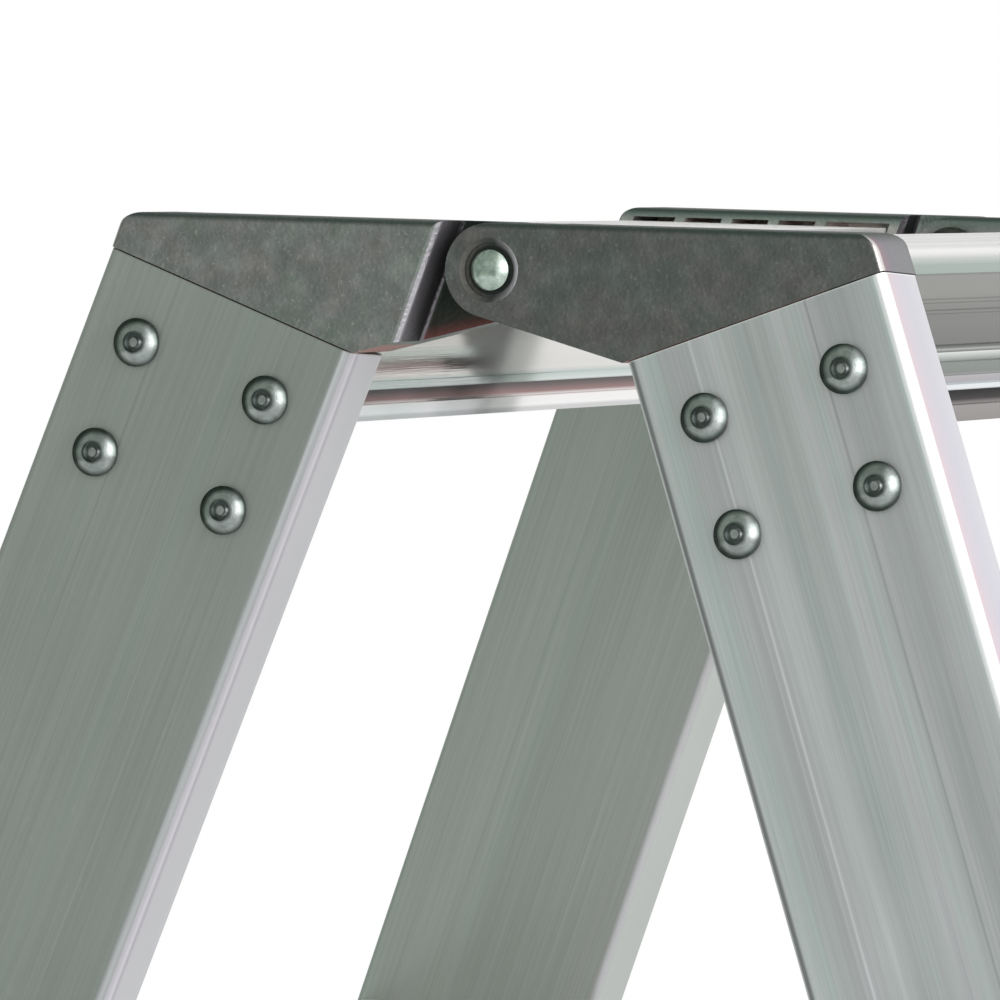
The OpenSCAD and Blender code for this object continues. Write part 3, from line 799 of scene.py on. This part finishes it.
print("rivets", RIVETS_ACROSS, "by", RIVETS_ALONG, "mm apart")

# %% Material: casting rivets
RING_SCALE = 8.0
RIM_SCALE = 8.4


def rivet_finish(name, side, y_sign):
    material, tree, shader = new_material(name)
    local = stile_place(tree, side, y_sign)
    blotch = noise(tree, local, 0.26, 4.0, 0.6)
    body = ramp(tree, blotch, [(0.32, srgb(146, 152, 150)), (0.68, srgb(188, 193, 192))])
    # the dark ring round the stem is painted shade in its recess
    ring_at = calc(tree, "DIVIDE", rivet_distance(tree, local, 0.35 * side), RING_SCALE)
    ring = ramp(tree, ring_at, [
        (0.0, (1.25, 1.2, 1.22)), (1.2 / RING_SCALE, (1.25, 1.2, 1.22)),
        (1.7 / RING_SCALE, (0.28, 0.30, 0.30)), (3.1 / RING_SCALE, (0.32, 0.35, 0.34)),
        (3.9 / RING_SCALE, (1, 1, 1)),
    ])
    body = blend(tree, 1.0, "MULTIPLY", body, ring)
    # the dark rim round the head is a painted dark reflection, thickest on the left
    rim_at = calc(tree, "DIVIDE", rivet_distance(tree, local, 0.9 * side), RIM_SCALE)
    painted_dark_rim = ramp(tree, rim_at, [
        (0.0, (1, 1, 1)), (5.3 / RIM_SCALE, (0.92, 0.95, 0.93)),
        (6.7 / RIM_SCALE, (0.14, 0.17, 0.15)), (1.0, (0.05, 0.07, 0.06)),
    ])
    feed(tree, shader, {
        "Base Color": blend(tree, 1.0, "MULTIPLY", body, painted_dark_rim), "Metallic": 1.0,
        "Roughness": span(tree, blotch, 0.0, 1.0, 0.18, 0.30),
        "Normal": relief(tree, noise(tree, local, 1.8, 2.0, 0.5), 0.12, 0.0002),
    })
    return material


for flight, side in FLIGHTS.items():
    for end, y_sign in SIDES.items():
        nodes[f"{end}_{flight}_casting_rivets"].data.materials[0] = rivet_finish(
            f"{end} {flight} casting rivet zinc", side, y_sign
        )
print("casting rivets finished on", len(FLIGHTS) * len(SIDES), "stiles")

# %% [markdown]
# ## Places on a tread
#
# All ten treads are cuts of one section, so dirt and wear sit at the same heights on each. The
# group turns a point into its depth below its own tread's walking face and its distance out from
# the hinge line, with the lean taken off, both in millimetres.

# %% Group: tread places
ABOVE_DECK = 0.0002
tread_place, g_in, g_out = new_group(
    "tread places", [("Vector", "Vector", None)], [("Depth", "Float"), ("Out", "Float")]
)
axes = put(tread_place, "SeparateXYZ", {"Vector": g_in.outputs["Vector"]})
fallen = calc(tread_place, "SUBTRACT", TREADS * RISE + ABOVE_DECK, axes.outputs["Z"])
rises = calc(tread_place, "DIVIDE", fallen, RISE)
depth = calc(tread_place, "MULTIPLY", calc(tread_place, "FRACT", rises), RISE * 1000)
whole = calc(tread_place, "FLOOR", rises)
lean_out = calc(tread_place, "MULTIPLY", whole, RISE * math.tan(LEAN))
side_x = calc(tread_place, "ABSOLUTE", axes.outputs["X"])
upright = calc(tread_place, "SUBTRACT", side_x, lean_out)
feed(tread_place, g_out, {"Depth": depth, "Out": calc(tread_place, "MULTIPLY", upright, 1000.0)})
print("group:", tread_place.name)

# %% [markdown]
# ## The treads' finish
#
# The treads are a brighter, smoother extrusion than the stiles, bright enough to mirror the hinge
# in their back walls. The walking face is scrubbed matt and pale by boots. The walls carry painted
# light and shade: the nose is a painted highlight, a little warm, with a painted green reflection
# below it, the front wall is painted darker downwards under the nose as painted shade, the grooves
# low on the front and back walls are painted shade, and the ledges and lips beside them are
# painted highlights. Two ramps over the depth say how light the metal looks: one for the front
# wall, one for the back. Each mark is a depth in millimetres and a colour.

# %% Painted light and shade down the front and back walls
WALL_SCALE = 60.0
# front wall: painted highlight on the nose, painted green reflection below it, painted shade
# darkening downwards, painted highlights on the ledges at 31 and 40 to 42 mm, painted shade in the
# groove from 42.6 to 45.6 mm
FRONT_LIGHT_AND_SHADE = [
    (0.0, srgb(226, 220, 219)), (2.0, srgb(206, 207, 204)), (3.6, srgb(192, 199, 195)),
    (5.0, srgb(166, 178, 172)), (7.4, srgb(162, 176, 170)), (8.2, srgb(144, 145, 141)),
    (14.0, srgb(139, 139, 135)), (20.0, srgb(119, 120, 116)), (28.5, srgb(109, 110, 106)),
    (29.6, srgb(84, 86, 82)), (31.0, srgb(216, 220, 216)), (33.4, srgb(128, 135, 130)),
    (37.2, srgb(120, 127, 122)), (38.0, srgb(176, 173, 177)), (39.8, srgb(170, 167, 172)),
    (40.2, srgb(232, 236, 238)), (41.8, srgb(236, 240, 242)), (42.6, srgb(56, 57, 58)),
    (45.6, srgb(70, 67, 66)), (46.8, srgb(152, 147, 145)), (52.0, srgb(138, 134, 132)),
]
# back wall: painted shade in the groove from 48.4 to 51.8 mm, and a painted highlight on the lip
# from 52.8 to 55.4 mm
BACK_LIGHT_AND_SHADE = [
    (0.0, srgb(222, 222, 220)), (12.0, srgb(218, 216, 214)), (44.0, srgb(220, 219, 216)),
    (45.6, srgb(190, 202, 198)), (47.6, srgb(216, 224, 221)), (48.4, srgb(70, 66, 66)),
    (49.6, srgb(96, 84, 84)), (51.8, srgb(156, 122, 120)), (52.8, srgb(252, 249, 248)),
    (55.4, srgb(250, 250, 249)), (56.2, srgb(212, 212, 212)), (58.0, srgb(206, 206, 206)),
]


def depth_ramp(tree, depth, marks):
    share = calc(tree, "DIVIDE", depth, WALL_SCALE)
    return ramp(tree, share, [(at / WALL_SCALE, colour) for at, colour in marks])


print("tones:", len(FRONT_LIGHT_AND_SHADE), "in front and", len(BACK_LIGHT_AND_SHADE), "behind")

# %% Colour of the treads
FRONT_FROM = 80.0

tread_metal, tree, shader = new_material("tread aluminium")
point = put(tree, "TexCoord").outputs["Object"]
where = use_group(tree, tread_place, {"Vector": point})
depth = where.outputs["Depth"]
along = put(tree, "Mapping", {"Vector": point, "Rotation": (math.radians(90), 0, 0)})
lines = use_group(tree, drawn, {
    "Vector": along.outputs["Vector"], "Broad per metre": 70.0, "Fine per metre": 2200.0,
})
is_front = calc(tree, "GREATER_THAN", where.outputs["Out"], FRONT_FROM)
body = blend(tree, is_front, first=depth_ramp(tree, depth, BACK_LIGHT_AND_SHADE),
             second=depth_ramp(tree, depth, FRONT_LIGHT_AND_SHADE))
on_top = span(tree, depth, 0.6, 3.2, 1.0, 0.0)
body = blend(tree, on_top, first=body, second=srgb(237, 235, 233))
streaks = ramp(tree, lines.outputs["Broad"], [(0.30, 0.90), (0.70, 1.06)])
body = blend(tree, 1.0, "MULTIPLY", body, streaks)
scratches = use_group(tree, scuffs, {"Vector": point, "Amount": 0.3})
trodden = calc(tree, "MULTIPLY", scratches.outputs["Mask"], on_top)
body = blend(tree, trodden, first=body, second=srgb(150, 152, 150))
print("colour nodes:", len(tree.nodes))

# %% [markdown]
# Dark paint alone doesn't make the front groove dark, because metal mirrors the white wall at a
# low angle whatever its colour is. So the painted shade there is also rough and isn't metal. The
# walking face is less metallic and rougher than the walls, and the back walls are the smoothest.

# %% Metal and roughness of the treads
GROOVE_DEPTH = 44.6
GROOVE_HALF = 2.1

# the front groove: painted shade, made rough and not metal
in_groove = calc(tree, "COMPARE", depth, GROOVE_DEPTH, GROOVE_HALF)
painted_shade = calc(tree, "MULTIPLY", in_groove, is_front)
off_shade = calc(tree, "SUBTRACT", 1.0, painted_shade)
rough = span(tree, lines.outputs["Patch"], 0.3, 0.7, 0.07, 0.14)
rough = calc(tree, "ADD", rough, span(tree, is_front, 0.0, 1.0, -0.03, 0.0))
rough = calc(tree, "MULTIPLY_ADD", on_top, 0.3, rough)
feed(tree, shader, {
    "Base Color": body,
    "Metallic": calc(tree, "MULTIPLY", span(tree, on_top, 0.0, 1.0, 0.95, 0.45), off_shade),
    "Roughness": calc(tree, "MULTIPLY_ADD", painted_shade, 0.7, rough),
    "Normal": relief(tree, lines.outputs["Fine"], 0.05, 0.0001),
})
for name, node in nodes.items():
    if "tread" in name:
        node.data.materials[0] = tread_metal
print("treads finished")

# %% [markdown]
# ## Rubber feet
#
# The feet are moulded rubber: nearly black, with a fine leathery texture, paler dust low down.

# %% Material: rubber
DUST_TOP = 0.035

rubber, tree, shader = new_material("foot rubber")
point = put(tree, "TexCoord").outputs["Object"]
pebble = put(tree, "TexVoronoi", {"Vector": point, "Scale": 900.0})
height = put(tree, "SeparateXYZ", {"Vector": point}).outputs["Z"]
low = span(tree, height, 0.0, DUST_TOP, 0.75, 0.0)
dusty = calc(tree, "MULTIPLY", low, noise(tree, point, 55.0, 5.0, 0.6))
feed(tree, shader, {
    "Base Color": blend(tree, dusty, first=srgb(40, 41, 43), second=srgb(122, 118, 110)),
    "Roughness": 0.72,
    "Normal": relief(tree, pebble.outputs["Distance"], 0.35, 0.0003),
})
for name, node in nodes.items():
    if name.endswith("_foot"):
        node.data.materials[0] = rubber
print("feet finished")

# %% [markdown]
# ## Weld beads
#
# Each tread is welded into the corner between its wall and the stile. A hand-laid bead is a row
# of frozen ripples, each a little wider in the middle than at its edge. We start from a small
# disc and extrude it again and again, out wide and in narrow, which gives one closed rod of
# ripples, and turn it to follow the splayed stile. Three quarters of the rod lie inside the
# corner. There is no bead on the back wall of the top treads, where the photograph shows a plain
# joint.

# %% Material: weld
weld, tree, shader = new_material("weld aluminium")
point = put(tree, "TexCoord").outputs["Object"]
frost = noise(tree, point, 900.0, 4.0, 0.6)
frosted = ramp(tree, frost, [(0.3, srgb(158, 162, 160)), (0.7, srgb(206, 209, 208))])
sooty = ramp(tree, noise(tree, point, 160.0, 2.0, 0.5), [(0.36, 0.55), (0.52, 1.0)])
feed(tree, shader, {
    "Base Color": blend(tree, 1.0, "MULTIPLY", frosted, sooty),
    "Metallic": 0.8, "Roughness": 0.42, "Normal": relief(tree, frost, 0.3, 0.0003),
})
print("material:", weld.name)

# %% One bead, modelled once
BEAD_R = 0.0026
RIPPLE = 0.0022
# (share of a ripple's length, width there)
RIPPLE_SHAPE = ((0.22, 0.93), (0.30, 1.0), (0.30, 0.94), (0.18, 0.84))
FRONT_BEAD, BACK_BEAD = 0.036, 0.039


def model_bead(length):
    """A rod of ripples that hangs down from the origin."""
    bpy.ops.object.select_all(action="DESELECT")
    bpy.ops.mesh.primitive_circle_add(vertices=14, radius=BEAD_R * 0.5, fill_type="NGON")
    bead = bpy.context.active_object
    bpy.ops.object.mode_set(mode="EDIT")
    bpy.ops.mesh.select_mode(type="FACE")
    bpy.ops.mesh.select_all(action="SELECT")
    ripples = round(length / RIPPLE)
    step = length / ripples
    radius = 0.5
    for n in range(ripples):
        swell = 1.0 + 0.07 * math.sin(2.1 * n)
        for share, wide in RIPPLE_SHAPE:
            bpy.ops.mesh.extrude_region_move(
                TRANSFORM_OT_translate={"value": (0, 0, -step * share)}
            )
            grow = wide * swell / radius
            bpy.ops.transform.resize(value=(grow, grow, 1))
            radius = wide * swell
    bpy.ops.transform.resize(value=(0.5, 0.5, 1))
    bpy.ops.mesh.select_all(action="SELECT")
    bpy.ops.mesh.normals_make_consistent(inside=False)
    bpy.ops.object.mode_set(mode="OBJECT")
    bpy.ops.object.shade_smooth_by_angle(angle=math.radians(75))
    return bead


front_bead = model_bead(FRONT_BEAD)
back_bead = model_bead(BACK_BEAD)
print("bead faces:", len(front_bead.data.polygons), len(back_bead.data.polygons))

# %% A copy of the bead at each end of each wall
def stile_inside(x, z):
    """Distance from the middle plane to the stile's inner face, at a place on the flight."""
    along = -x * math.sin(LEAN) + (z - HINGE_Z) * math.cos(LEAN)
    return STILE_Y - STILE_T / 2 / math.cos(SPLAY) - math.tan(SPLAY) * along


def lay_bead(model, name, x, top, flight, side, y_sign):
    bead = bpy.data.objects.new(name, model.data.copy())
    bpy.context.scene.collection.objects.link(bead)
    s = y_sign * side
    y_top = s * stile_inside(x, top)
    swing = Matrix.Rotation(s * math.atan(math.tan(SPLAY) * math.cos(LEAN)), 4, "X")
    bead.data.transform(flight_turn(side) @ Matrix.Translation((x, y_top, top)) @ swing)
    bead.data.materials.append(weld)
    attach(bead, flight + "_flight")


# a bead's middle lies just inside its wall, and its top is this far under the walking face
FRONT_X, FRONT_DROP = NOSE_X - 0.0012, 0.009
BACK_X, BACK_DROP = NOSE_X - BOX_W + 0.0006, 0.006

beads = 0
for flight, side in FLIGHTS.items():
    for end, y_sign in SIDES.items():
        for k in range(TREADS):
            out = k * RISE * math.tan(LEAN)
            face = HINGE_Z + TREAD_TOP - k * RISE
            lay_bead(front_bead, f"{end}_{flight}_front_bead_{k + 1}", FRONT_X + out,
                     face - FRONT_DROP, flight, side, y_sign)
            beads += 1
            if k > 0:
                lay_bead(back_bead, f"{end}_{flight}_back_bead_{k + 1}", BACK_X + out,
                         face - BACK_DROP, flight, side, y_sign)
                beads += 1
for model in (front_bead, back_bead):
    bpy.data.objects.remove(model)
print("beads:", beads)

# %% [markdown]
# ## Light and background
#
# The metal in the photograph mirrors a tall window on the right, a white wall behind the ladder
# and a dim room in front of it and over it. So what stands round the ladder matters as much as
# the lamps. The world is white where the camera or a reflection sees it, and a softer grey as a
# source of light. A curved grey screen, which only the camera doesn't see, stands for the room.
# Two tall soft boxes are the window: one in front lights the wide faces, and one at the side
# lights the narrow faces and the rounded corners.

# %% World
def by_eye_or_mirror(tree):
    """The light path, and a mask of what the camera sees directly or in a reflection."""
    path = put(tree, "LightPath")
    rays = path.outputs
    return path, calc(tree, "MAXIMUM", rays["Is Camera Ray"], rays["Is Glossy Ray"])


world = bpy.data.worlds.new("studio")
bpy.context.scene.world = world
world.use_nodes = True
tree = world.node_tree
tree.nodes.clear()
path, seen = by_eye_or_mirror(tree)
seen = calc(tree, "MAXIMUM", seen, path.outputs["Is Transmission Ray"])
soft = put(tree, "Background", {"Color": (0.95, 0.97, 1.0, 1), "Strength": 0.85})
white = put(tree, "Background", {"Color": (1, 1, 1, 1), "Strength": 1.0})
either = put(tree, "MixShader", {0: seen, 1: soft.outputs[0], 2: white.outputs[0]})
put(tree, "OutputWorld", {"Surface": either.outputs[0]})
print("world:", world.name)

# %% Soft boxes
def soft_box(name, at, towards, size, watts, colour):
    lamp = bpy.data.lights.new(name, "AREA")
    lamp.shape = "RECTANGLE"
    lamp.size, lamp.size_y = size
    lamp.energy = watts
    lamp.color = colour
    stand = bpy.data.objects.new(name, lamp)
    bpy.context.scene.collection.objects.link(stand)
    stand.location = at
    stand.rotation_euler = (Vector(towards) - Vector(at)).to_track_quat("-Z", "Y").to_euler()
    stand.visible_camera = False
    return stand


HINGE_AT = (0, 0, 1.3)
lamps = [
    soft_box("window", (1.45, -2.3, 1.9), HINGE_AT, (1.1, 1.7), 14, (1.0, 1.0, 1.0)),
    soft_box("side window", (2.5, -0.4, 1.8), HINGE_AT, (1.3, 1.8), 35, (1.0, 0.985, 1.0)),
]
print("lamps:", len(lamps))

# %% [markdown]
# The screen is part of a ball round the ladder. We keep the strip of it that lies in front and to
# the left, and the cap overhead, and delete the rest. Its shader only glows, so it is the same
# grey from everywhere, and it is hidden from the camera.

# %% Screen
ROOM = 0.425
SCREEN_R = 3.4
SCREEN_AT = (0, 0, 1.1)
# degrees above the horizon, and degrees to the right of straight in front of the ladder
CAP_FROM, STRIP_FROM = 58, -16
STRIP_LEFT, STRIP_RIGHT = -118, 8

bpy.ops.object.select_all(action="DESELECT")
bpy.ops.mesh.primitive_uv_sphere_add(
    segments=72, ring_count=36, radius=SCREEN_R, location=SCREEN_AT
)
screen = bpy.context.active_object
screen.name = "room_screen"
bpy.ops.object.mode_set(mode="EDIT")
bpy.ops.mesh.select_all(action="DESELECT")
bpy.ops.object.mode_set(mode="OBJECT")
for face in screen.data.polygons:
    height = math.degrees(math.asin(face.center.z / face.center.length))
    to_right = math.degrees(math.atan2(face.center.x, -face.center.y))
    overhead = height > CAP_FROM
    room_side = height > STRIP_FROM and STRIP_LEFT < to_right < STRIP_RIGHT
    face.select = not (overhead or room_side)
bpy.ops.object.mode_set(mode="EDIT")
bpy.ops.mesh.delete(type="FACE")
bpy.ops.object.mode_set(mode="OBJECT")
bpy.ops.object.transform_apply(location=True, rotation=True, scale=True)
screen_paint = bpy.data.materials.new("room grey")
screen_paint.use_nodes = True
tree = screen_paint.node_tree
tree.nodes.clear()
glow = put(tree, "Emission", {"Color": (0.895, 1.0, 0.91, 1), "Strength": ROOM})
put(tree, "OutputMaterial", {"Surface": glow.outputs[0]})
screen.data.materials.append(screen_paint)
screen.visible_camera = False
print("screen faces:", len(screen.data.polygons))

# %% [markdown]
# A studio floor has no far edge: it curves up into the backdrop. We get the same look from a
# large flat floor whose paint turns, a few metres away from the ladder, into the white of the
# world. Near the ladder it is plain paint and takes its shadow.

# %% Floor
FADE_FROM, FADE_TO = 1.0, 4.2

bpy.ops.object.select_all(action="DESELECT")
bpy.ops.mesh.primitive_plane_add(size=24, location=(0, 0, 0))
floor = bpy.context.active_object
floor.name = "floor"
floor_paint, tree, shader = new_material("pale floor")
point = put(tree, "TexCoord").outputs["Object"]
pale = ramp(tree, noise(tree, point, 40.0, 3.0, 0.5), [
    (0.3, srgb(236, 236, 235)), (0.7, srgb(241, 241, 240)),
])
feed(tree, shader, {"Base Color": pale, "Roughness": 0.8})
away = put(tree, "VectorMath", {0: point}, operation="LENGTH")
fade = put(tree, "MapRange", {
    "Value": away.outputs["Value"], "From Min": FADE_FROM, "From Max": FADE_TO,
}, interpolation_type="SMOOTHSTEP")
path, seen = by_eye_or_mirror(tree)
turned_white = calc(tree, "MULTIPLY", fade.outputs["Result"], seen)
backdrop = put(tree, "Emission", {"Color": (1, 1, 1, 1), "Strength": 1.0})
end_of_floor = put(tree, "MixShader", {
    0: turned_white, 1: shader.outputs[0], 2: backdrop.outputs[0],
})
out = next(node for node in tree.nodes if node.bl_idname == "ShaderNodeOutputMaterial")
feed(tree, out, {"Surface": end_of_floor.outputs[0]})
floor.data.materials.append(floor_paint)
print("floor ready")

# %% The colour view, and the end
scene = bpy.context.scene
scene.view_settings.view_transform = "Standard"
